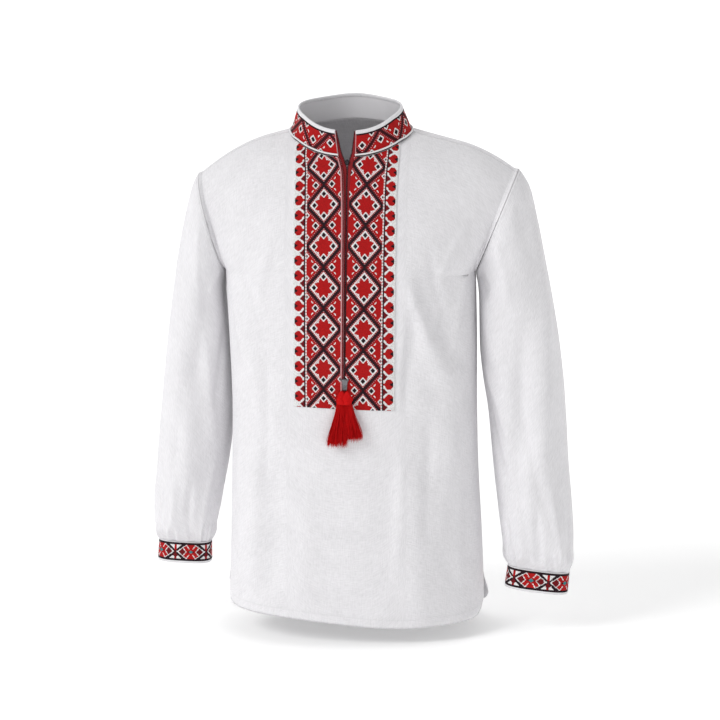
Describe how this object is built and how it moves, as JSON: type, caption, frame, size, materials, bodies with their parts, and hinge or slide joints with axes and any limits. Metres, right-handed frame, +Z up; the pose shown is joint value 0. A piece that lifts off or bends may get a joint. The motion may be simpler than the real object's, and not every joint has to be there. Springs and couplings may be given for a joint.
{
  "type": "folk shirt",
  "caption": "Men's long-sleeved linen folk shirt in its worn form, with a standing collar, embroidered chest panel, collar and cuffs, a zipped front slit and red tassels.",
  "frame": {"origin": "middle of the neck, level with the highest points of the shoulders, where the wearer holds the shirt up", "axes": "+Z up along the shirt's length, -Y the way the wearer faces, +X to the wearer's left, which is the right-hand side of the picture"},
  "size_m": [0.6429, 0.2483, 0.7771],
  "materials": {
    "linen": "matt",
    "embroidery": "matt",
    "binding": "matt",
    "zip_tape": "matt",
    "tassel": "satin",
    "metal": "satin"
  },
  "bodies": {
    "root": {"front": "linen", "back": "linen", "sleeve_left": "linen", "sleeve_right": "linen", "cuff_left": "embroidery", "cuff_right": "embroidery", "collar": "embroidery", "plastron": "embroidery", "collar_binding": "binding", "collar_piping": "binding", "zip_tape_left": "zip_tape", "zip_tape_right": "zip_tape", "zip_slider": "metal", "end_cap": "metal", "tassel_left": "tassel", "tassel_right": "tassel"}
  },
  "joints": []
}
